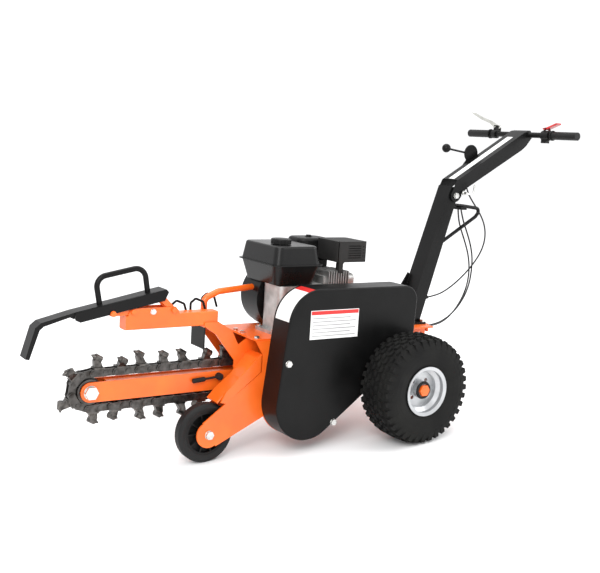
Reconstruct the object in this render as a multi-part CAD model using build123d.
from build123d import *
import math
import os

# Walk-behind mini trencher. Millimetres. The machine is laid out level, on its deck:
# X = 0 at the rear axle, +X towards the operator's handle, +Y away from the belt
# cover, Z = 0 at the bottom of the rear tyres. The finished layout then stands on its
# wheels, nose up, with the origin at the middle of its footprint on the floor.

# ---- stance -----------------------------------------------------------------------
nose_up = 4.6             # how far the deck leans back when the front wheel is down, deg
origin_to_axle = 218      # the rear axle stands this far behind the origin
slip = 0.3                # air left between curved faces of pieces that don't touch
run_fit = 0.05            # radial clearance of a shaft that turns in its bore
sheet = 6                 # frame plate

# ---- wheels -----------------------------------------------------------------------
tyre_r = 190
tyre_w = 152
track = 614               # between the middles of the rear tyres
rim_seat_r = 78
rim_flange_r = 87
hub_r = 30
axle_r = 12.7
axle_tube_r = 21
front_r = 100
front_w = 46
front_x = -698.5
front_bolt_r = 8
axle_z = tyre_r
lean = math.radians(nose_up)
front_z = axle_z + (front_r - axle_z + front_x * math.sin(lean)) / math.cos(lean)

# ---- frame ------------------------------------------------------------------------
deck_top = 352
deck_front = -535
deck_back = 250
deck_far = 150
drive_y = -112            # outer face of the plate that carries the belt cover
inner_y = -36             # near face of the chain tunnel's near side plate
far_y = 70                # near face of the chain tunnel's far side plate
boom_y = 20               # middle plane of the boom and its chain
fork_r = 44
beam_front = -968
beam_back = -640
beam_low = 393
beam_high = 440
beam_near = -30
beam_w = 50
wall = 4
loop_r = 4                # the two bent rods beside the beam
hitch_half = 60           # outer faces of the two ears behind the deck
hitch_ear = 12
hitch_r = 8
hitch_at = (deck_back - 24, deck_top - 36)
cable_stop_x = deck_back + 16.6
front_y = (drive_y + sheet + inner_y) / 2 - 4

# ---- belt cover -------------------------------------------------------------------
cover_near = -212
cover_wall = 2
cover_top = 532
cover_lobe_r = 125

# ---- boom and chain ---------------------------------------------------------------
pitch = 38.1
links = 46
teeth = 9
idler_pitch_r = 57
sprocket_pitch_r = pitch / 2 / math.sin(math.pi / teeth)
head_x = -370
head_z = 197
head_r = 15
run = (links * pitch - math.pi * (idler_pitch_r + sprocket_pitch_r)) / 2
nose_x = head_x - run
boom_h = 64
boom_w = 60
boom_plate = 6
roller_r = 10
pin_r = 5.5
link_h = 24
link_t = 4
chain_inner_w = 18
boom_lever_at = (-618, 212)
lever_pin_r = 5
nose_bolt_r = 12

# ---- drive ------------------------------------------------------------------------
crank_x = -320
crank_z = deck_top + 106
crank_r = 12.5
jack_x = -378
jack_z = 139
jack_r = 11
gear_module = 2.5
pinion_teeth = 12
driven_r = 108
drum_r = 50
belt_y = -165
belt_gap = 20             # between the two belts

# ---- engine -----------------------------------------------------------------------
base_z = deck_top
case_near = -60
case_far = 60
case_top = crank_z + 60
tank_low = case_top + 4
tank_seam = tank_low + 70
tank_high = tank_seam + 64
cap_at = (-376, 20)
cap_neck_r = 26

# ---- handle -----------------------------------------------------------------------
column_w = 72
column_d = 44
column_foot_x = 171
column_top_x = 347
column_top_z = 880
arm_w = 86
arm_d = 50
arm_wall = 3
arm_end_r = 24
hinge_x = 375
hinge_z = 858
hinge_r = 6
lock_pin_r = 5
arm_rise = 29.4           # slope of the handle arm, deg
bar_x = 732
bar_z = 1095
bar_r = 11
bar_half = 292
grip_len = 125
grip_r = 15.5
perch_y = 142
throttle_y = -142
quadrant_at = (511, 1008)

# ---- guard bar --------------------------------------------------------------------
guard_w = 62
guard_t = 3
guard_mid = -5
front_low = (-943, 452)   # bottom pivot of the front links
front_high = (-1013, 450)
rear_low = (-803, 451)
rear_high = (-850, 498)
guard_pin_r = 5

nodes = {}


def node(name):
    """Registers what the function below returns as the sub-part of that name."""
    def keep(make):
        nodes[name] = make
        return make
    return keep


# ---- helpers ----------------------------------------------------------------------
def plate(outline, near, far):
    """A closed XZ outline, (x, z) points or a face in XZ, made solid from Y near to Y far."""
    face = outline if isinstance(outline, (Face, Sketch)) else flat(outline)
    return Pos(0, far, 0) * extrude(Plane.XZ * face, far - near)


def flat(points, radius=0):
    face = make_face(Polyline(*points, close=True))
    return fillet(face.vertices(), radius) if radius else face


def rod(x, z, radius, near, far):
    """A round bar along Y."""
    return Pos(x, (near + far) / 2, z) * Rot(90, 0, 0) * Cylinder(radius, far - near)


def box(x0, x1, y0, y1, z0, z1):
    return Pos((x0 + x1) / 2, (y0 + y1) / 2, (z0 + z1) / 2) * Box(x1 - x0, y1 - y0, z1 - z0)


def slab(x0, x1, y0, y1, z0, z1, radius):
    """A block whose upright edges are rounded."""
    b = box(x0, x1, y0, y1, z0, z1)
    return fillet(b.edges().filter_by(Axis.Z), radius)


def link(a, b, radius, near, far):
    """A bar with round ends between two (x, z) points."""
    long = math.dist(a, b)
    turn = math.degrees(math.atan2(b[1] - a[1], b[0] - a[0]))
    mid = ((a[0] + b[0]) / 2, (a[1] + b[1]) / 2)
    face = Pos(*mid) * Rot(0, 0, turn) * SlotCenterToCenter(long, 2 * radius)
    return plate(face, near, far)


def hexagon(x, z, across, near, far):
    return plate(Pos(x, z) * RegularPolygon(across / 2, 6, major_radius=False), near, far)


def tube(points, radius, bends, hollow=0):
    """A bent round tube through the points."""
    path = FilletPolyline(*points, radius=bends)
    start = Plane(origin=path @ 0, z_dir=path % 0)
    body = sweep(start * Circle(radius), path=path)
    if hollow:
        body -= sweep(start * Circle(hollow), path=path)
    return body


def gear(x, z, count, module, near, far, bore, turn=0):
    """A spur gear with straight-sided teeth and a bore."""
    tip, root = module * (count / 2 + 0.9), module * (count / 2 - 1.2)
    step = 360 / count
    points = []
    for i in range(count):
        for share, r in ((-0.36, root), (-0.12, tip), (0.12, tip), (0.36, root)):
            a = math.radians(turn + (i + share) * step)
            points.append((x + r * math.cos(a), z + r * math.sin(a)))
    return plate(points, near, far) - rod(x, z, bore, near - 1, far + 1)


def bolt(x, z, radius, near, far, head_side=-1):
    """A hex bolt along Y: shank from near to far, head with washer outside head_side."""
    head_at = near if head_side < 0 else far
    thick = 1.1 * radius
    shank = rod(x, z, radius, near, far)
    if head_side < 0:
        return (shank + rod(x, z, 1.9 * radius, head_at - 1.5, head_at)
                + hexagon(x, z, 3.2 * radius, head_at - 1.5 - thick, head_at - 1.5))
    return (shank + rod(x, z, 1.9 * radius, head_at, head_at + 1.5)
            + hexagon(x, z, 3.2 * radius, head_at + 1.5, head_at + 1.5 + thick))


def bolt_head(x, z, radius, face):
    """The washer and head of a bolt whose thread goes into the plate at Y = face."""
    head = hexagon(x, z, 3.2 * radius, face - 1.5 - 1.1 * radius, face - 1.5)
    return head + rod(x, z, 1.9 * radius, face - 1.5, face)


def cap_head(x, y, z, radius):
    """The same on a level surface at z."""
    hexa = RegularPolygon(1.6 * radius, 6, major_radius=False)
    return Pos(x, y, z + 1.5) * extrude(hexa, 1.1 * radius) + Pos(x, y, z + 0.75) * Cylinder(1.9 * radius, 1.5)


def cap_bolt(x, y, z, radius, deep):
    """A hex bolt that points down, with its washer on the surface at z."""
    return cap_head(x, y, z, radius) + Pos(x, y, z - deep / 2) * Cylinder(radius, deep)


def group(solids):
    """Separate solids in one sub-part."""
    found = []
    for s in solids:
        found += list(s.solids())
    return Compound(found)


def place(shape):
    """From the level layout to the machine as it stands on its wheels."""
    return Pos(origin_to_axle, 0, axle_z) * Rot(0, nose_up, 0) * Pos(0, 0, -axle_z) * shape


# ---- frame plates -----------------------------------------------------------------
def cover_face(grow=0):
    """The belt cover's outline in XZ: a round lobe below, a rounded box above."""
    left_foot = (-535, -130)
    corners = [left_foot, (-459, cover_top), (70, cover_top), (62, 304), (-105, 184)]
    face = make_face(Polyline(*corners, close=True))
    by_z = sorted(face.vertices(), key=lambda v: v.Y)
    face = fillet(by_z[0], cover_lobe_r)
    top = sorted(face.vertices(), key=lambda v: v.Y)[-2:]
    face = fillet(min(top, key=lambda v: v.X), 120)
    right = sorted(face.vertices(), key=lambda v: -v.X)[0]
    face = fillet(right, 55)
    return offset(face, amount=grow) if grow else face


def fork_arm(near, far):
    """One arm of the front fork, a plate from the frame down to the wheel's bolt."""
    r = fork_r
    arm = plate([(-722, 84), (-507, 240), (-430, 240), (-430, 100), (-497, 82), (-672, 2)], near, far)
    return arm + rod(front_x, front_z, r, near, far)


def fork_bridge():
    """The bent plate over the front wheel, welded between the fork's arms."""
    line = [(-672, 150), (-638, 185), (-586, 225), (-530, 290), (-507, 300)]
    under = [(x + 3, z - 5) for x, z in reversed(line)]
    return plate(line + under, drive_y + sheet, inner_y)


@node("drive_plate")
def drive_plate():
    near, far = drive_y, drive_y + sheet
    rim = plate(cover_face(1), near, far) & box(-600, -240, near, far, 0, 280)
    body = plate(cover_face(-5), near, far) + rim + fork_arm(near, far)
    body += plate([(-507, 235), (-507, 300), (-535, 346), (-300, 346), (-300, 235)], near, far)
    body += fork_bridge() + plate([(-512, 240), (-512, 300), (-640, 183), (-660, 148), (-640, 143)], near, far)
    body -= rod(crank_x, crank_z, 40, near - 1, far + 1)
    body -= rod(jack_x, jack_z, 26 + run_fit, near - 1, far + 1)
    return body - rod(front_x, front_z, front_bolt_r + run_fit, near - 1, far + 1)


def tunnel_side(near, far, fork):
    """A side plate of the chain tunnel, with the leg that holds up the beam."""
    side = [(-690, 391), (-648, 362), (-573, 268), (-573, 245), (-480, 205), (-470, 120),
            (-430, 75), (-320, 75), (-240, 150), (80, 170), (100, 346), (-520, 346), (-560, 320),
            (-586, 372), (-640, 405), (-690, 405)]
    body = plate(side, near, far)
    if fork:
        body += fork_arm(near, far) + plate([(-575, 250), (-500, 235), (-480, 150), (-560, 200)], near, far)
        body -= rod(front_x, front_z, front_bolt_r + run_fit, near - 1, far + 1)
        body -= rod(jack_x, jack_z, jack_r + run_fit, near - 1, far + 1)
    body -= rod(0, axle_z, axle_tube_r, near - 1, far + 1)
    return body - rod(head_x, head_z, 30, near - 1, far + 1)


@node("tunnel_plates")
def tunnel_plates():
    near_one = tunnel_side(inner_y, inner_y + sheet, True)
    return group([near_one, tunnel_side(far_y, far_y + sheet, False)])


@node("deck")
def deck():
    body = box(deck_front, deck_back, drive_y + sheet, deck_far, deck_top - sheet, deck_top)
    apron = [(beam_back, beam_low + 6), (deck_front, deck_top), (deck_front, deck_top - sheet),
             (beam_back, beam_low)]
    body += plate(apron, inner_y + sheet, far_y)
    for inside in (-hitch_half, hitch_half - hitch_ear):
        ear = box(deck_back - 60, deck_back, inside, inside + hitch_ear, deck_top - 60, deck_top - sheet)
        body += fillet(ear.edges().filter_by(Axis.Y).group_by(Axis.Z)[0], 12)
    body -= rod(*hitch_at, hitch_r, -hitch_half - 1, hitch_half + 1)
    body += box(deck_back - 2, deck_back + 12, -60, -14, deck_top - sheet, deck_top)
    body += box(deck_back + 10, cable_stop_x, -60, -14, deck_top - 30, deck_top)
    for x, y in engine_feet():
        body -= Pos(x, y, deck_top) * Cylinder(5.1, 3 * sheet)
    return body


def engine_feet():
    return [(crank_x + dx, dy) for dx in (-112, 112) for dy in (-48, 48)]


@node("top_beam")
def top_beam():
    far = beam_near + beam_w
    body = box(beam_front, beam_back, beam_near, far, beam_low, beam_high)
    body = fillet(body.edges().filter_by(Axis.X), 5)
    body -= box(beam_front + wall, beam_back - wall, beam_near + wall, far - wall,
                beam_low + wall, beam_high - wall)
    body += box(beam_back - 50, beam_back, inner_y + sheet, far_y, beam_low - sheet, beam_low)
    side = [(-958, 446), (-950, 462), (-796, 462), (-784, 448), (-780, beam_high - 8), (beam_front + 6, beam_high - 8)]
    for near in (beam_near, far - 4):
        body += plate(side, near, near + 4)
    for x, z in (front_low, rear_low):
        body -= rod(x, z, guard_pin_r + run_fit, beam_near - 1, far + 1)
    return body


@node("chain_flap")
def chain_flap():
    return box(beam_back - 48, beam_back - 43, inner_y + sheet + 4, far_y - 4, 312, beam_low - sheet)


@node("guard_hoop")
def guard_hoop():
    """A bent tube from the beam's cross plate to the engine's fan housing."""
    points = [(-655, 45, beam_low), (-655, 45, 470), (-600, 50, 492), (-437.5, 100, 495)]
    return tube(points, 11, [25, 40], 8.5)


@node("rod_loops")
def rod_loops():
    """Two bent rods on the beam's far side and one on its cross plate."""
    solids = []
    beside = beam_near + beam_w + loop_r
    for x, y, foot, up in ((-786, beside, beam_low + 20, 472), (-716, beside, beam_low + 20, 476),
                           (-652, far_y - loop_r, beam_low, 484)):
        points = [(x, y, foot), (x, y, up - 14), (x + 18, y, up), (x + 46, y, up - 12), (x + 58, y, up - 48)]
        solids.append(tube(points, loop_r, [10, 8, 8]))
    return group(solids)


# ---- boom -------------------------------------------------------------------------
def chain_spot(s):
    """Place and heading (deg) of the chain's pitch line at a distance along it."""
    total = links * pitch
    s %= total
    top = run
    nose_arc = math.pi * idler_pitch_r
    if s < top:
        f = s / top
        r = sprocket_pitch_r + (idler_pitch_r - sprocket_pitch_r) * f
        return head_x - run * f, head_z + r, 180.0
    s -= top
    if s < nose_arc:
        a = math.pi / 2 + s / idler_pitch_r
        return nose_x + idler_pitch_r * math.cos(a), head_z + idler_pitch_r * math.sin(a), math.degrees(a) + 90
    s -= nose_arc
    if s < run:
        f = s / run
        r = idler_pitch_r + (sprocket_pitch_r - idler_pitch_r) * f
        return nose_x + run * f, head_z - r, 360.0
    s -= run
    a = -math.pi / 2 + s / sprocket_pitch_r
    return head_x + sprocket_pitch_r * math.cos(a), head_z + sprocket_pitch_r * math.sin(a), math.degrees(a) + 90


def joints_of_chain():
    return [chain_spot(i * pitch) for i in range(links)]


def link_plate(a, b, near, far):
    bar = link(a, b, link_h / 2, near, far)
    for x, z in (a, b):
        bar -= rod(x, z, pin_r + run_fit, near - 1, far + 1)
    return bar


def chain_plates(first, out):
    """The link plates of every other link; out is how far they lie from the chain's middle."""
    spots = joints_of_chain()
    solids = []
    for i in range(first, links, 2):
        a, b = spots[i][:2], spots[(i + 1) % links][:2]
        for side in (-1, 1):
            y = boom_y + side * (out + link_t / 2)
            solids.append(link_plate(a, b, y - link_t / 2, y + link_t / 2))
    return solids


@node("chain_inner_links")
def chain_inner_links():
    return group(chain_plates(0, chain_inner_w / 2))


@node("chain_outer_links")
def chain_outer_links():
    return group(chain_plates(1, chain_inner_w / 2 + link_t + 0.3))


@node("chain_pins")
def chain_pins():
    reach = chain_inner_w / 2 + 2 * link_t + 0.3 + 2.5
    head = chain_inner_w / 2 + 2 * link_t + 0.3 + 0.1
    solids = []
    for x, z, _ in joints_of_chain():
        pin = rod(x, z, pin_r, boom_y - reach, boom_y + reach)
        for side in (-1, 1):
            y = boom_y + side * head
            pin += rod(x, z, pin_r + 2, min(y, y + side * 2), max(y, y + side * 2))
        pin += rod(x, z, roller_r, boom_y - chain_inner_w / 2 + 0.4, boom_y + chain_inner_w / 2 - 0.4)
        solids.append(pin)
    return group(solids)


def cutter(a, b, side, tall, lean_out):
    """A cutter on an outer link: foot on the link plates, a forged shank and a bullet tip."""
    ang = math.atan2(b[1] - a[1], b[0] - a[0])
    mid = ((a[0] + b[0]) / 2, (a[1] + b[1]) / 2)
    base = link_h / 2 + 0.2
    half = chain_inner_w / 2 + 2 * link_t + 0.3
    foot = box(-17, 17, -half, half, base, base + 5)
    tip_y = side * lean_out
    low = Plane(origin=(0, tip_y * 0.3, base + 4), z_dir=(0, 0, 1))
    high = Plane(origin=(-6, tip_y * 0.8, base + tall * 0.62), z_dir=(-0.2, side * 0.3, 1))
    stem = loft([low * Rectangle(28, 20), high * Rectangle(21, 17)])
    aim = Vector(-0.86, side * 0.18, 0.5)
    socket_at = Plane(origin=(-2, tip_y * 0.82, base + tall * 0.7), z_dir=aim)
    socket = socket_at * Pos(0, 0, -2) * Cylinder(11.5, 24)
    nose = socket_at * Pos(0, 0, 16) * Cone(9, 2, 14)
    body = foot + stem + socket + nose
    # Laid out along +X with the link's outside up, then turned onto the link.
    turn = Pos(mid[0], boom_y, mid[1]) * Rot(0, -math.degrees(ang) + 180, 0)
    return turn * body


@node("cutters")
def cutters():
    spots = joints_of_chain()
    pattern = [(1, 44, 26), (-1, 36, 27), (0, 48, 0), (-1, 44, 24), (1, 36, 27), (0, 42, 0)]
    solids = []
    for n, i in enumerate(range(1, links, 2)):
        a, b = spots[i][:2], spots[(i + 1) % links][:2]
        side, tall, out = pattern[n % len(pattern)]
        solids.append(cutter(a, b, side, tall, out))
    return group(solids)


@node("boom_bar")
def boom_bar():
    half = boom_w / 2
    ends = (nose_x, head_z), (head_x, head_z)
    body = link(*ends, boom_h / 2, boom_y - half, boom_y - half + boom_plate)
    body += link(*ends, boom_h / 2, boom_y + half - boom_plate, boom_y + half)
    body += box(nose_x + 62, head_x - 92, boom_y - half + 1, boom_y + half - 1,
                head_z - boom_h / 2 + 5, head_z + boom_h / 2 - 5)
    body -= rod(*boom_lever_at, lever_pin_r + run_fit, boom_y - half - 1, boom_y - half + 13)
    body -= rod(head_x, head_z, head_r + run_fit, boom_y - 50, boom_y + 50)
    body -= rod(nose_x, head_z, nose_bolt_r + run_fit, boom_y - 50, boom_y + 50)
    return body


@node("nose_idler")
def nose_idler():
    half = boom_w / 2 - boom_plate - 1
    body = rod(nose_x, head_z, 40.5, boom_y - half, boom_y + half)
    body += rod(nose_x, head_z, idler_pitch_r - roller_r - 2, boom_y - 7, boom_y + 7)
    for side in (-1, 1):
        face = boom_y + side * half
        body -= rod(nose_x, head_z, 34, min(face, face - side * 4), max(face, face - side * 4)) - \
            rod(nose_x, head_z, 20, boom_y - 60, boom_y + 60)
    return body - rod(nose_x, head_z, nose_bolt_r + run_fit, boom_y - 60, boom_y + 60)


@node("nose_bolt")
def nose_bolt():
    half = boom_w / 2
    body = bolt(nose_x, head_z, nose_bolt_r, boom_y - half, boom_y + half + 16)
    nut = hexagon(nose_x, head_z, 36, boom_y + half + slip, boom_y + half + 11)
    return body + nut


# ---- drive ------------------------------------------------------------------------
@node("head_shaft")
def head_shaft():
    return rod(head_x, head_z, head_r, drive_y + sheet + 2, far_y + 42)


@node("head_bearings")
def head_bearings():
    solids = []
    for wall_face, out in ((inner_y, -1), (far_y + sheet, 1)):
        a, b = wall_face, wall_face + out * 12
        ring = rod(head_x, head_z, 42, min(a, b), max(a, b))
        ring += rod(head_x, head_z, 29.8, wall_face - sheet * (out > 0), wall_face + sheet * (out < 0))
        solids.append(ring - rod(head_x, head_z, head_r + run_fit, -100, 130))
    return group(solids)


@node("drive_sprocket")
def drive_sprocket():
    root_r = sprocket_pitch_r - roller_r - 0.5
    body = rod(head_x, head_z, sprocket_pitch_r + 4, boom_y - 6, boom_y + 6)
    for x, z, _ in joints_of_chain():
        if math.dist((x, z), (head_x, head_z)) < sprocket_pitch_r + 14:
            body -= rod(x, z, roller_r + 0.6, boom_y - 10, boom_y + 10)
    body += rod(head_x, head_z, 30, boom_y - 14, boom_y + 14)
    for i in range(teeth):
        a = 2 * math.pi * i / teeth + math.pi / 2
        x, z = head_x + sprocket_pitch_r * math.cos(a), head_z + sprocket_pitch_r * math.sin(a)
        body -= rod(x, z, roller_r + 0.6, boom_y - 10, boom_y + 10)
    return body - rod(head_x, head_z, head_r + run_fit, boom_y - 30, boom_y + 30)


def gear_pair():
    """Teeth of the head gear, the pair's module, and the heading from pinion to gear."""
    centres = math.dist((head_x, head_z), (jack_x, jack_z))
    wheel_teeth = round(2 * centres / gear_module) - pinion_teeth
    aim = math.degrees(math.atan2(head_z - jack_z, head_x - jack_x))
    return wheel_teeth, 2 * centres / (wheel_teeth + pinion_teeth), aim


@node("head_gear")
def head_gear():
    count, module, aim = gear_pair()
    return gear(head_x, head_z, count, module, -84, -60, head_r, aim + 180)


@node("jackshaft")
def jackshaft():
    """The intermediate shaft, with its pinion cut on it and a bearing sleeve at the cover's plate."""
    _, module, aim = gear_pair()
    body = rod(jack_x, jack_z, jack_r, -188, inner_y + sheet + 1)
    body += gear(jack_x, jack_z, pinion_teeth, module, -84, -60, 2, aim + 180 / pinion_teeth)
    return body + rod(jack_x, jack_z, 26, drive_y - 6, drive_y + sheet + 6)


def grooved(x, z, radius, near, far, bore):
    """A pulley for two V belts."""
    body = rod(x, z, radius + 3, near, far)
    for y in belt_lines():
        groove = rod(x, z, radius + 6, y - 6.5, y + 6.5) - rod(x, z, radius - 8, y - 8, y + 8)
        body -= groove
    return body - rod(x, z, bore, near - 1, far + 1)


def belt_lines():
    return [belt_y - belt_gap / 2, belt_y + belt_gap / 2]


@node("driven_pulley")
def driven_pulley():
    near, far = belt_y - 22, belt_y + 22
    body = grooved(jack_x, jack_z, driven_r, near, far, jack_r)
    for y in (near - 1, far + 1):
        dish = rod(jack_x, jack_z, driven_r - 18, y - 15, y + 15) - rod(jack_x, jack_z, 30, y - 20, y + 20)
        body -= dish
    return body


@node("clutch_drum")
def clutch_drum():
    near, far = belt_y - 22, belt_y + 22
    body = grooved(crank_x, crank_z, drum_r, near, far, crank_r + 1)
    return body - rod(crank_x, crank_z, 38, near + 6, far + 1)


@node("clutch_hub")
def clutch_hub():
    near = belt_y - 14
    body = rod(crank_x, crank_z, 20, near, belt_y + 22)
    for i in range(3):
        a = math.radians(30 + 120 * i)
        shoe = rod(crank_x, crank_z, 36.5, near, belt_y + 14) - rod(crank_x, crank_z, 24, near - 1, belt_y + 15)
        shoe = shoe & Pos(crank_x + 40 * math.cos(a), belt_y, crank_z + 40 * math.sin(a)) * Rot(
            0, -math.degrees(a), 0) * Box(60, 80, 46)
        body += shoe + Pos(crank_x + 20 * math.cos(a), belt_y, crank_z + 20 * math.sin(a)) * Rot(
            0, -math.degrees(a), 0) * Box(16, 20, 12)
    return body - rod(crank_x, crank_z, crank_r + 0.01, near - 1, belt_y + 30)


@node("drive_belts")
def drive_belts():
    solids = []
    small, big = drum_r - 0.5, driven_r - 0.5
    for y in belt_lines():
        outer = belt_loop(small + 5, big + 5)
        inner = belt_loop(small - 7, big - 7)
        solids.append(plate(outer, y - 5.5, y + 5.5) - plate(inner, y - 6, y + 6))
    return group(solids)


def belt_loop(r1, r2):
    """The hull of two circles, at the crankshaft and at the jackshaft."""
    a, b = Vector(crank_x, crank_z), Vector(jack_x, jack_z)
    along = (b - a).normalized()
    side = Vector(-along.Y, along.X)
    tilt = math.asin((r1 - r2) / (b - a).length)
    out = []
    for s in (1, -1):
        n = along * math.sin(tilt) + side * s * math.cos(tilt)
        out.append((a + n * r1, b + n * r2))
    body = make_face(Polyline(out[0][0], out[0][1], out[1][1], out[1][0], close=True))
    return body + Pos(a.X, a.Y) * Circle(r1) + Pos(b.X, b.Y) * Circle(r2)


@node("belt_cover")
def belt_cover():
    body = plate(cover_face(), cover_near, drive_y)
    front = body.faces().sort_by(Axis.Y)[0]
    body = fillet(front.edges(), 6)
    body -= plate(cover_face(-cover_wall), cover_near + cover_wall, drive_y + 1)
    return body


# ---- engine -----------------------------------------------------------------------
@node("crankcase")
def crankcase():
    body = slab(crank_x - 98, crank_x + 96, case_near, case_far, base_z + 12, case_top, 22)
    body += rod(crank_x, crank_z, case_top - crank_z - 4, case_near - 6, case_near)
    body += slab(crank_x - 124, crank_x + 124, case_near + 2, case_far - 2, base_z, base_z + 12, 10)
    body += rod(crank_x, crank_z, 32, case_near - 22, case_near - 6)
    for i in range(6):
        a = math.radians(60 * i + 15)
        x, z = crank_x + 43 * math.cos(a), crank_z + 43 * math.sin(a)
        body += hexagon(x, z, 8, case_near - 12.5, case_near - 5.5)
    body -= box(crank_x - 84, crank_x + 84, case_near + 8, case_far - 8, base_z + 18, case_top - 12)
    body -= rod(crank_x, crank_z, crank_r + run_fit, case_near - 40, case_far + 40)
    for x, y in engine_feet():
        body -= Pos(x, y, base_z) * Cylinder(5.1, 50)
    return body


@node("cylinder")
def cylinder():
    x0 = crank_x + 96.3
    body = box(x0, x0 + 96, -34, 34, crank_z + 26, crank_z + 88)
    for i in range(9):
        x = x0 + 8 + 10.5 * i
        body += box(x, x + 3, -56, 56, crank_z + 6, crank_z + 108)
    return body


@node("rocker_cover")
def rocker_cover():
    x0 = crank_x + 192.8
    body = slab(-40, 40, -44, 44, 0, 36, 20)
    body = fillet(body.faces().sort_by(Axis.Z)[-1].edges(), 10)
    return Pos(x0, 0, crank_z + 57) * Rot(0, 90, 0) * body


@node("muffler")
def muffler():
    can = box(-172, -66, -44, 64, 604, 664)
    can = fillet(can.edges().filter_by(Axis.Y), 22)
    pipe = tube([(-150, -24, crank_z + 108), (-150, -24, 592), (-120, -24, 625)], 13, [18])
    return can + pipe


@node("muffler_guard")
def muffler_guard():
    body = box(-184, -56, -60, 78, 598, 672)
    body = fillet(body.edges().filter_by(Axis.Z), 12)
    body -= box(-181.5, -58.5, -57.5, 75.5, 590, 669.5)
    for i in range(6):
        z = 612 + 8.5 * i
        body -= box(-140, -84, -70, -50, z, z + 3)
    for i in range(4):
        for k in range(2):
            body -= Pos(-74 + 8 * k, -60, 620 + 11 * i) * Rot(90, 0, 0) * Cylinder(2, 12)
    body += box(-178, -160, -60, -56, 560, 600)
    return body


@node("fuel_tank")
def fuel_tank():
    x0, x1, y0, y1 = -455, -250, -78, 190
    mid = ((x0 + x1) / 2, (y0 + y1) / 2)
    w, d = x1 - x0, y1 - y0

    def ring(z, inset, r):
        return Pos(mid[0], mid[1], z) * RectangleRounded(w - 2 * inset, d - 2 * inset, r)

    lower = loft([ring(tank_low, 24, 30), ring(tank_seam, 8, 26)])
    upper = loft([ring(tank_seam, 8, 26), ring(tank_high, 18, 24)])
    upper = fillet(upper.faces().sort_by(Axis.Z)[-1].edges(), 9)
    seam = Pos(0, 0, -2) * extrude(ring(tank_seam, 0, 28), 4)
    neck = Pos(*cap_at, tank_high + 2) * Cylinder(cap_neck_r, 9)
    body = lower + upper + seam + neck + box(-400, -300, -40, 40, case_top, tank_low + 2)
    return body - rod(crank_x, crank_z, 123, case_far - 4, 260)


@node("fuel_cap")
def fuel_cap():
    """A round cap with a grip rim, a little above the tank, over its neck."""
    x, y = cap_at
    body = Pos(x, y, tank_high + 11) * Cylinder(36, 18)
    body = fillet(body.edges().filter_by(GeomType.CIRCLE).group_by(Axis.Z)[-1], 5)
    body -= Pos(x, y, tank_high + 4) * Cylinder(cap_neck_r + slip, 6)
    for i in range(18):
        a = math.radians(20 * i)
        body -= Pos(x + 37.2 * math.cos(a), y + 37.2 * math.sin(a), tank_high + 6) * Cylinder(2.6, 16)
    return body


@node("air_cleaner")
def air_cleaner():
    body = slab(-248, -112, 84, 196, 566, 668, 34)
    body = fillet(body.faces().sort_by(Axis.Z)[-1].edges(), 12)
    body -= Pos(-180, 140, 668) * Cylinder(16, 8)
    body += Pos(-180, 140, 668) * Cylinder(10, 14)
    return body + box(-215, -150, 56, 60, 545, 592) + box(-215, -150, 56, 90, 570, 592)


@node("blower_housing")
def blower_housing():
    near, far = case_far + 0.3, 150
    body = rod(crank_x, crank_z, 118, near, far)
    body += box(crank_x + 20, crank_x + 190, near, far - 30, crank_z - 30, crank_z + 106)
    body -= rod(crank_x, crank_z, 115, near + 3, far + 1)
    body -= box(crank_x + 20, crank_x + 187, near + 3, far - 33, crank_z - 27, crank_z + 103)
    body -= box(crank_x - 40, crank_x + 40, near - 1, near + 4, crank_z - 40, crank_z + 40)
    return body - box(crank_x - 200, crank_x + 200, near - 1, far + 1, crank_z - 140, base_z + 4)


@node("recoil_cover")
def recoil_cover():
    near = 150.3
    body = rod(crank_x, crank_z, 112, near, near + 34)
    body -= rod(crank_x, crank_z, 109, near - 1, near + 31)
    body += rod(crank_x, crank_z, 60, near + 31, near + 44) - rod(crank_x, crank_z, 57, near + 20, near + 41)
    for i in range(12):
        a = math.radians(30 * i)
        x, z = crank_x + 84 * math.cos(a), crank_z + 84 * math.sin(a)
        body -= Pos(x, near + 32, z) * Rot(0, -math.degrees(a), 0) * Box(28, 12, 9)
    body += box(crank_x + 96, crank_x + 128, near + 4, near + 26, crank_z + 44, crank_z + 66)
    return body - Pos(crank_x + 116, near + 15, crank_z + 55) * Rot(0, 90, 0) * Cylinder(2.5, 60)


@node("starter_grip")
def starter_grip():
    y = 165.3
    bar = box(crank_x + 128 + slip, crank_x + 146, y - 26, y + 26, crank_z + 46, crank_z + 64)
    bar = fillet(bar.edges(), 5)
    rope = Pos(crank_x + 110, y, crank_z + 55) * Rot(0, 90, 0) * Cylinder(2.2, 40)
    return bar + rope


@node("crankshaft")
def crankshaft():
    body = rod(crank_x, crank_z, crank_r, belt_y - 14, 140)
    for y in (-34, 22):
        web = rod(crank_x, crank_z, 44, y, y + 12)
        body += web
    body += rod(crank_x + 24, crank_z, 14, -24, 24)
    flywheel = rod(crank_x, crank_z, 92, 78, 104)
    for i in range(12):
        a = math.radians(30 * i)
        flywheel += Pos(crank_x + 72 * math.cos(a), 110, crank_z + 72 * math.sin(a)) * Rot(
            0, -math.degrees(a) + 20, 0) * Box(34, 14, 3)
    return body + flywheel


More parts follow.
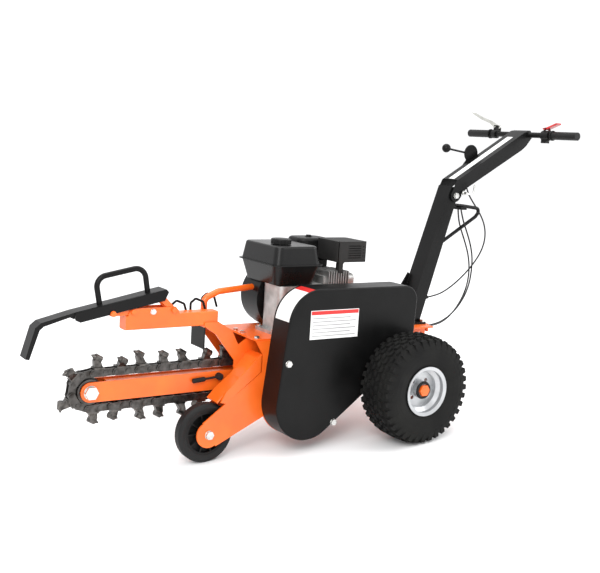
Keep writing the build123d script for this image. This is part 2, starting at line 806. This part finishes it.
# ---- handle -----------------------------------------------------------------------
@node("column")
def column():
    half = column_w / 2
    side = [(column_foot_x, deck_top), (column_foot_x + 66, deck_top),
            (column_top_x + 38, column_top_z - 30), (column_top_x + 26, column_top_z - 6),
            (column_top_x, column_top_z)]
    body = plate(side, -half, half)
    inside = [(column_foot_x + 3, deck_top - 1), (column_foot_x + 62, deck_top - 1),
              (column_top_x + 34, column_top_z - 31), (column_top_x + 24, column_top_z),
              (column_top_x + 4, column_top_z + 10)]
    body -= plate(inside, -half + 3, half - 3)
    body += plate([(-10 + 110, deck_top), (column_foot_x + 4, deck_top), (228, 535), (222, 540)], half - 6, half)
    body -= rod(hinge_x - 8, hinge_z - 14, hinge_r + run_fit, -60, 60)
    x, z = lock_pin_at()
    body -= rod(x, z, lock_pin_r + run_fit, -60, 60)
    body += box(column_foot_x - 20, column_foot_x + 80, -half - 24, half + 24, deck_top, deck_top + 8)
    loop = tube([(360, 0, 808), (452, 0, 802), (548, 0, 792), (520, 0, 760), (318, 0, 640)], 7, [60, 14, 8])
    clamp = box(418, 448, -24, 24, 788.6, 800)
    end, before = Vector(*lever_route[-1]), Vector(*lever_route[-2])
    socket = Plane(origin=end, z_dir=end - before) * Pos(0, 0, 20.1) * Cylinder(6, 40)
    return body + loop + clamp + socket


def lock_pin_at():
    return along_arm(34, -6)


def along_arm(u, v):
    """(x, z) of a point u along the arm and v above its middle line, from its hinge."""
    c, s = math.cos(math.radians(arm_rise)), math.sin(math.radians(arm_rise))
    return (hinge_x - 8 + u * c - v * s, hinge_z - 14 + u * s + v * c)


@node("handle_arm")
def handle_arm():
    """The arm, open below, from its hinge on the column to the head that holds the bar."""
    half = arm_w / 2
    side = [along_arm(*p) for p in ((-14, 19), (30, 50), (438, 58), (456, 52), (462, 38), (455, 20),
                                    (412, 4), (385, 0), (60, 0), (10, -22))]
    body = plate(side, -half, half) + rod(*along_arm(0, 0), arm_end_r, -half, half)
    core = [along_arm(*p) for p in ((-50, -40), (-50, 70), (36, 70), (36, 50 - arm_wall), (415, 54 - arm_wall),
                                    (415, 12), (380, 4), (380, -40))]
    body -= plate(core, -half + arm_wall, half - arm_wall)
    x, z = along_arm(0, 0)
    body -= rod(x, z, hinge_r + run_fit, -60, 60)
    # The arm drops onto the pin, so its hole runs out as a curved notch.
    for a, b in (((34, -6), (31.9, -13.2)), ((31.9, -13.2), (28.3, -19.8))):
        body -= link(along_arm(*a), along_arm(*b), lock_pin_r + slip, -60, 60)
    stop = [along_arm(*p) for p in ((116, -8.8), (128, -8.8), (128, 48), (116, 48))]
    body += plate(stop, 12, half - 1)
    return body - rod(bar_x, bar_z, bar_r + 0.01, -60, 60)


@node("handlebar")
def handlebar():
    bar = rod(bar_x, bar_z, bar_r, 3 - bar_half, bar_half - 3)
    return bar - rod(bar_x, bar_z, bar_r - 2.5, -bar_half, bar_half)


@node("grips")
def grips():
    solids = []
    for side in (-1, 1):
        a, b = side * (bar_half - grip_len), side * bar_half
        near, far = min(a, b), max(a, b)
        grip = rod(bar_x, bar_z, grip_r, near, far)
        collar = side * (bar_half - grip_len)
        grip += rod(bar_x, bar_z, grip_r + 4, min(collar, collar + side * 4), max(collar, collar + side * 4))
        grip -= rod(bar_x, bar_z, bar_r, near + (3 if side < 0 else -1), far - (3 if side > 0 else -1))
        solids.append(grip)
    return group(solids)


# ---- controls ---------------------------------------------------------------------
@node("control_clamps")
def control_clamps():
    """The lever's perch on the far side and the throttle's housing on the near side."""
    solids = []
    perch = rod(bar_x, bar_z, bar_r + 7, perch_y - 10, perch_y + 10)
    perch += box(bar_x - 4, bar_x + 22, perch_y - 9, perch_y + 9, bar_z + 12, bar_z + 19)
    for x in (bar_x - 4, bar_x + 16):
        perch += box(x, x + 6, perch_y - 9, perch_y + 9, bar_z + 10, bar_z + 36)
    perch -= Pos(bar_x + 9, perch_y, bar_z + 29) * Rot(0, 90, 0) * Cylinder(3.05, 60)
    solids.append(perch - rod(bar_x, bar_z, bar_r, perch_y - 20, perch_y + 20))
    house = rod(bar_x, bar_z, bar_r + 8, throttle_y - 14, throttle_y + 22)
    house += box(bar_x - 10, bar_x + 10, throttle_y - 4, throttle_y + 22, bar_z - 30, bar_z - 10)
    for x in (bar_x - 15, bar_x + 12 + slip):
        house += box(x, x + 3 - slip, throttle_y - 1, throttle_y + 9, bar_z + 8, bar_z + 29)
    house -= Pos(bar_x, throttle_y + 4, bar_z + 24) * Rot(0, 90, 0) * Cylinder(2.5 + run_fit, 60)
    solids.append(house - rod(bar_x, bar_z, bar_r, throttle_y - 30, throttle_y + 40))
    return group(solids)


@node("clutch_lever")
def clutch_lever():
    """The hand lever: a forged blade with a ball end, on a pin through the perch's ears."""
    x, z = bar_x + 9, bar_z + 29
    blade = [(perch_y - 22, z + 4), (perch_y, z + 9), (perch_y + 40, z + 26), (perch_y + 90, z + 40),
             (perch_y + 140, z + 58), (perch_y + 146, z + 52), (perch_y + 95, z + 30),
             (perch_y + 44, z + 15), (perch_y + 6, z - 7), (perch_y - 8, z - 7)]
    face = fillet(make_face(Polyline(*blade, close=True)).vertices(), 2.5)
    body = Pos(x - 5, 0, 0) * extrude(Plane.YZ * face, 10)
    body += Pos(x, perch_y + 147, z + 58) * Sphere(7)
    body += Pos(x, perch_y, z) * Rot(0, 90, 0) * Cylinder(3, 32)
    return body


@node("throttle_lever")
def throttle_lever():
    x, z, y = bar_x, bar_z + 24, throttle_y + 4
    blade = [(y + 16, z + 3), (y - 8, z + 8), (y - 54, z + 25), (y - 59, z + 19.5), (y - 10, z + 1), (y + 4, z - 3)]
    face = fillet(make_face(Polyline(*blade, close=True)).vertices(), 1.5)
    body = Pos(x - 12, 0, 0) * extrude(Plane.YZ * face, 24)
    return body + Pos(x, y, z) * Rot(0, 90, 0) * Cylinder(2.5, 32)


@node("quadrant")
def quadrant():
    """The plate on the arm that carries the ball lever."""
    half = arm_w / 2
    x, z = quadrant_at
    foot = along_arm(135, 30)
    body = plate([(x - 20, z - 24), (x + 24, z - 20), (foot[0] + 34, foot[1]), (foot[0] - 26, foot[1] - 10)],
                 half, half + 5)
    body += rod(x, z, 34, half, half + 5)
    body += rod(x, z, 9, half + 5, half + 7)
    return body - rod(x, z, 6 + run_fit, half - 1, half + 10)


@node("knob_lever")
def knob_lever():
    half = arm_w / 2
    x, z = quadrant_at
    body = rod(x, z, 6, half + slip, half + 16) + rod(x, z, 15, half + 7.3, half + 16)
    arm = Pos(x - 62, half + 11.5, z + 7) * Rot(0, 90 + 7, 0) * Cylinder(4, 108)
    return body + arm + Pos(x - 124, half + 11.5, z + 15) * Sphere(17)


@node("lock_pin")
def lock_pin():
    """The bent pin that holds the arm to the column."""
    x, z = lock_pin_at()
    half = arm_w / 2
    body = rod(x, z, lock_pin_r, -half - 26, -half + 12) + rod(x, z, 9, -half - 10, -half - 6)
    grip = tube([(x, -half - 24, z), (x + 34, -half - 25, z - 4), (x + 38, -half - 26, z + 34)], 4, [12])
    return body + grip


@node("boom_lever")
def boom_lever():
    """The lever with a rubber grip on the boom's near side."""
    x, z = boom_lever_at
    face = boom_y - boom_w / 2
    y = face - 10
    body = rod(x, z, 12, y - 6, face - slip) + rod(x, z, lever_pin_r, face - 2, face + 12)
    lever = Pos(x, y, z) * Rot(0, 86, 0)
    grip = fillet(Cylinder(8, 46).edges(), 3)
    return body + lever * Pos(0, 0, -32) * Cylinder(4, 64) + lever * Pos(0, 0, -78) * grip


# ---- guard bar --------------------------------------------------------------------
@node("guard_channel")
def guard_channel():
    """An upturned channel, a tongue that bends down to the tip, and a carrying loop."""
    near, far = guard_mid - guard_w / 2, guard_mid + guard_w / 2
    top = [(-1134, 458), (-1134, 436), (-1118, 428), (-838, 484), (-825, 512), (-834, 521)]
    body = plate(top, near, far)
    inside = [(-1140, 454), (-1140, 380), (-820, 440), (-810, 523), (-836, 517.5)]
    body -= plate(inside, near + guard_t, far - guard_t)
    tongue = [(-834, 521), (-834, 516), (-1134, 450), (-1230, 421), (-1242, 410), (-1272, 322),
              (-1284, 325), (-1256, 418), (-1238, 433), (-1134, 460)]
    bar = plate(tongue, guard_mid - 27, guard_mid + 27)
    body += bar
    body -= rod(*front_high, guard_pin_r + run_fit, near - 1, far + 1)
    loop = tube([(-1046, guard_mid, 474), (-1062, guard_mid, 560), (-900, guard_mid, 592),
                 (-886, guard_mid, 508)], 9, [34, 34])
    return body + loop


def guard_links(low, high):
    far = beam_near + beam_w
    solids = []
    for near in (beam_near + 4 + slip, far - 4 - 5 - slip):
        solids.append(link(low, high, 10, near, near + 5))
    return solids


def pivot_bolt(x, z, near, far):
    return bolt(x, z, guard_pin_r, near, far) + rod(x, z, guard_pin_r + 3, far, far + 5)


@node("guard_front_links")
def guard_front_links():
    solids = guard_links(front_low, front_high)
    near, far = guard_mid - guard_w / 2, guard_mid + guard_w / 2
    body = pivot_bolt(*front_low, beam_near - slip, beam_near + beam_w + slip)
    body += pivot_bolt(*front_high, near - slip, far + slip)
    for s in solids:
        body += s
    return body


@node("guard_rear_links")
def guard_rear_links():
    body = pivot_bolt(*rear_low, beam_near - slip, beam_near + beam_w + slip)
    body += rod(*rear_high, guard_pin_r, beam_near + 4, beam_near + beam_w - 4)
    for s in guard_links(rear_low, rear_high):
        body += s
    return body


# ---- wheels and axles -------------------------------------------------------------
def wheel_y(side):
    return side * track / 2


def spun(points, y, x=0, z=axle_z, fillets=()):
    """Turns an (r, y) outline about a Y axis through x, z."""
    face = make_face(Polyline(*[(r, v) for r, v in points], close=True))
    body = revolve(face, Axis.Y)
    return Pos(x, y, z) * body


def tyre_body(side):
    half = tyre_w / 2
    outline = [(rim_seat_r, -half + 16), (rim_flange_r + 4, -half + 10), (120, -half), (150, -half),
               (174, -half + 5), (186, -half + 16), (tyre_r, -half + 30), (tyre_r, half - 30),
               (186, half - 16), (174, half - 5), (150, half), (120, half), (rim_flange_r + 4, half - 10),
               (rim_seat_r, half - 16), (rim_seat_r, half - 24), (110, half - 14), (160, half - 14),
               (176, half - 34), (176, -half + 34), (160, -half + 14), (110, -half + 14),
               (rim_seat_r, -half + 24)]
    return spun(outline, wheel_y(side))


def rim_body(side):
    """The pressed steel rim, its disc and the hub, as one welded wheel."""
    half = tyre_w / 2
    t = 3
    barrel = [(rim_seat_r - slip, -half + 12), (rim_flange_r, -half + 8), (rim_flange_r, -half + 5),
              (rim_seat_r - t, -half + 9), (rim_seat_r - t, -half + 24), (62, -half + 34), (62, half - 34),
              (rim_seat_r - t, half - 24), (rim_seat_r - t, half - 9), (rim_flange_r, half - 5),
              (rim_flange_r, half - 8), (rim_seat_r - slip, half - 12), (rim_seat_r - slip, half - 23),
              (62 + t, half - 36), (62 + t, -half + 36), (rim_seat_r - slip, -half + 23)]
    disc_at = side * (half - 52)
    y = wheel_y(side)
    body = spun(barrel, y)
    disc = rod(0, axle_z, 63, y + disc_at - 2, y + disc_at + 2)
    for i in range(4):
        a = math.radians(45 + 90 * i)
        disc -= rod(40 * math.cos(a), axle_z + 40 * math.sin(a), 7, y + disc_at - 5, y + disc_at + 5)
    body += disc
    body += rod(0, axle_z, hub_r, y - 48, y + 48)
    return body - rod(0, axle_z, axle_r + run_fit, y - 60, y + 60)


@node("tyre_left")
def tyre_left():
    return tyre_body(-1)


@node("tyre_right")
def tyre_right():
    return tyre_body(1)


@node("rim_left")
def rim_left():
    return rim_body(-1)


@node("rim_right")
def rim_right():
    return rim_body(1)


@node("front_tyre")
def front_tyre():
    half = front_w / 2
    seat = 74
    outline = [(seat, -half + 4), (88, -half), (94, -half + 2), (front_r, -half + 10), (front_r, half - 10),
               (94, half - 2), (88, half), (seat, half - 4)]
    return spun(outline, front_y, front_x, front_z)


@node("front_core")
def front_core():
    half = front_w / 2
    x, z, y = front_x, front_z, front_y
    body = rod(x, z, 74, y - half + 5, y + half - 5) - rod(x, z, 66, y - 40, y + 40)
    body += rod(x, z, 68, y - 3, y + 3)
    body += rod(x, z, 20, y - half - 1, y + half + 1)
    for i in range(10):
        a = math.radians(36 * i)
        spoke = Pos(x + 43 * math.cos(a), y, z + 43 * math.sin(a)) * Rot(0, -math.degrees(a), 0)
        body += spoke * Box(48, 2 * half - 12, 4)
    return body - rod(x, z, front_bolt_r + run_fit, y - 40, y + 40)


@node("rear_axle")
def rear_axle():
    """A dead axle on two hangers below the deck, with collars and end nuts."""
    end = track / 2 + 60
    body = rod(0, axle_z, axle_r, -end, end)
    body += rod(0, axle_z, axle_tube_r, -track / 2 + 53, track / 2 - 53)
    for side in (-1, 1):
        a = side * (track / 2 + 48.5)
        body += hexagon(0, axle_z, 36, min(a, a + side * 11), max(a, a + side * 11))
        y = side * 96
        hanger = plate([(-70, deck_top - sheet), (70, deck_top - sheet), (34, axle_z - 24), (-34, axle_z - 24)],
                       y - 4, y + 4)
        body += hanger
    return body


# ---- small fastenings -------------------------------------------------------------
@node("frame_bolts")
def frame_bolts():
    solids = [bolt(front_x, front_z, front_bolt_r, drive_y, inner_y + sheet)]
    for x, y in engine_feet():
        solids.append(cap_bolt(x, y, base_z + 12, 4, 12 + sheet + 10))
    for x, z in ((-468, 287), (-272, 67)):
        solids.append(bolt_head(x, z, 6, cover_near))
    for y in (-90, 8, 55):
        solids.append(cap_head(deck_front + 14, y, deck_top, 5))
    for y in (-48, 48):
        solids.append(cap_head(column_foot_x + 70, y, deck_top + 8, 6))
    solids.append(bolt_head(-876, 450, 5, beam_near))
    side = arm_w / 2 + slip
    hinge = bolt(*along_arm(0, 0), hinge_r, -side, side)
    solids.append(hinge + hexagon(*along_arm(0, 0), 3.2 * hinge_r, side, side + 6))
    return group(solids)


# ---- cables -----------------------------------------------------------------------
cable_r = 3
lever_route = [(478, 30, 896), (497, 30, 852), (530, 26, 812), (566, 20, 770), (590, 12, 722), (592, 6, 668),
               (570, 2, 616), (530, 0, 568), (484, -2, 528), (436, -4, 494), (388, -6, 468), (342, -8, 452),
               (296, -8, 446)]
wheel_route = [(438, 14, 787.8), (446, 16, 748), (468, 18, 704), (496, 20, 656), (520, 20, 604), (530, 18, 550),
               (524, 14, 496), (502, 8, 446), (468, 2, 402), (426, -6, 368), (378, -14, 344), (322, -20, 334),
               (267, -24, 334)]
brake_route = [(426, -16, 787.4), (440, -18, 744), (464, -20, 700), (488, -20, 652), (508, -16, 600),
               (514, -12, 546), (506, -14, 494), (484, -18, 448), (450, -24, 410), (408, -32, 380),
               (360, -40, 358), (312, -46, 346), (267, -48, 342)]


def cord_tube(route):
    """Straight runs joined by arcs as large as their runs allow."""
    points = [Vector(*p) for p in route]
    radii = []
    for a, b, c in zip(points, points[1:], points[2:]):
        turn = math.radians((b - a).get_angle(c - b))
        shorter = min((b - a).length, (c - b).length)
        radii.append(0.45 * shorter / math.tan(turn / 2))
    path = FilletPolyline(*points, radius=radii)
    start = Plane(origin=path @ 0, z_dir=path % 0)
    body = sweep(start * Circle(cable_r), path=path)
    wanted = math.pi * cable_r ** 2 * path.length
    print(f"cord {path.length:.0f} mm, radii {min(radii):.0f} to {max(radii):.0f}, "
          f"volume {body.volume / wanted:.4f} of its section times its length")
    return body


@node("lever_cable")
def lever_cable():
    return cord_tube(lever_route)


@node("rear_cables")
def rear_cables():
    return group([cord_tube(wheel_route), cord_tube(brake_route)])


def main():
    os.makedirs("parts", exist_ok=True)
    for name, make in nodes.items():
        export_step(place(make()), f"parts/{name}.step")
    print(len(nodes), "sub-parts")


main()
